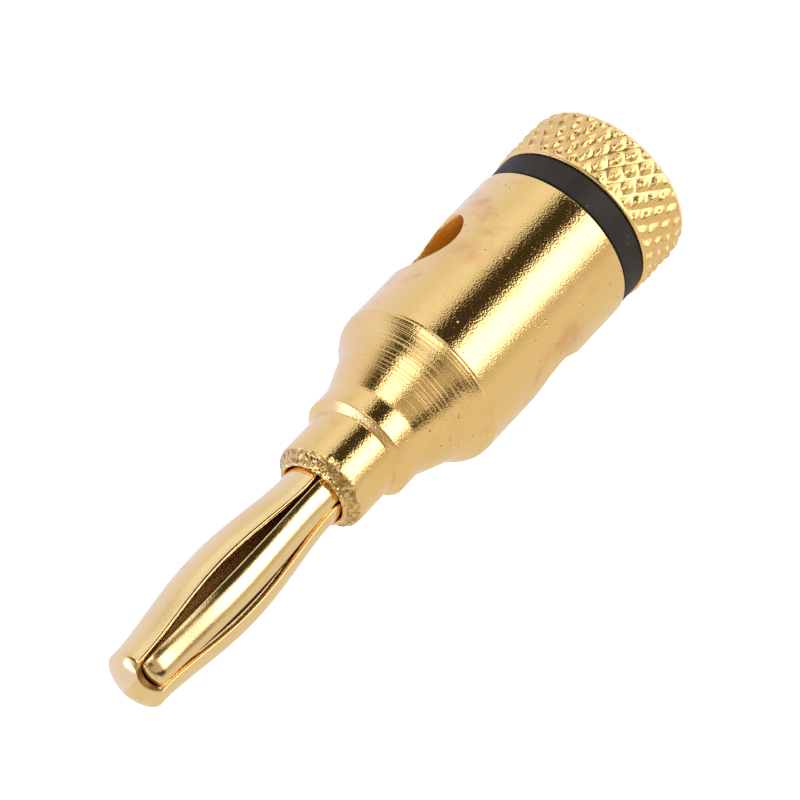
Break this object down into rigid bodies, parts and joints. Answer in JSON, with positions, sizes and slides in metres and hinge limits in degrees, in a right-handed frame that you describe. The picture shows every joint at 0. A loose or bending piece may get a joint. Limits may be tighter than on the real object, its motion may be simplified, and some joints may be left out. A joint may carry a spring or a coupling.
{
  "type": "banana plug",
  "caption": "Gold-plated loudspeaker banana plug: bowed leaf-spring contact pin, flared barrel with a cross hole for the wire, black colour ring and knurled cap with a clamp screw.",
  "frame": {"origin": "centre of the cap's rear face, on which the plug stands", "axes": "+Z along the plug from the cap to the contact tip, +X along the wire hole"},
  "size_m": [0.0102, 0.0102, 0.0425],
  "materials": {
    "gold_plate": "polished gold plate with fine grain",
    "spring_plate": "bright gold plate on bowed spring strip",
    "ring_plastic": "matte black",
    "cap_plate": "gold plate over diamond knurl"
  },
  "bodies": {
    "plug": {"barrel": "gold_plate", "root_plug": "gold_plate", "outer_leaf_spring": "spring_plate", "inner_leaf_spring": "spring_plate"},
    "ring": {"colour_ring": "ring_plastic"},
    "cap": {"screw_cap": "cap_plate"}
  },
  "joints": [
    {"name": "ring_slide", "type": "slide", "parent": "plug", "child": "ring", "axis": [0, 0, -1], "range_m": [0, 0.007]},
    {"name": "cap_turn", "type": "hinge", "parent": "ring", "child": "cap", "pos_m": [0, 0, 0.0018], "axis": [0, 0, -1], "range_deg": [0, 2520]}
  ],
  "couplings": [
    {"joint": "cap_turn", "follows": "ring_slide", "rad_per_m": 6283.2}
  ]
}
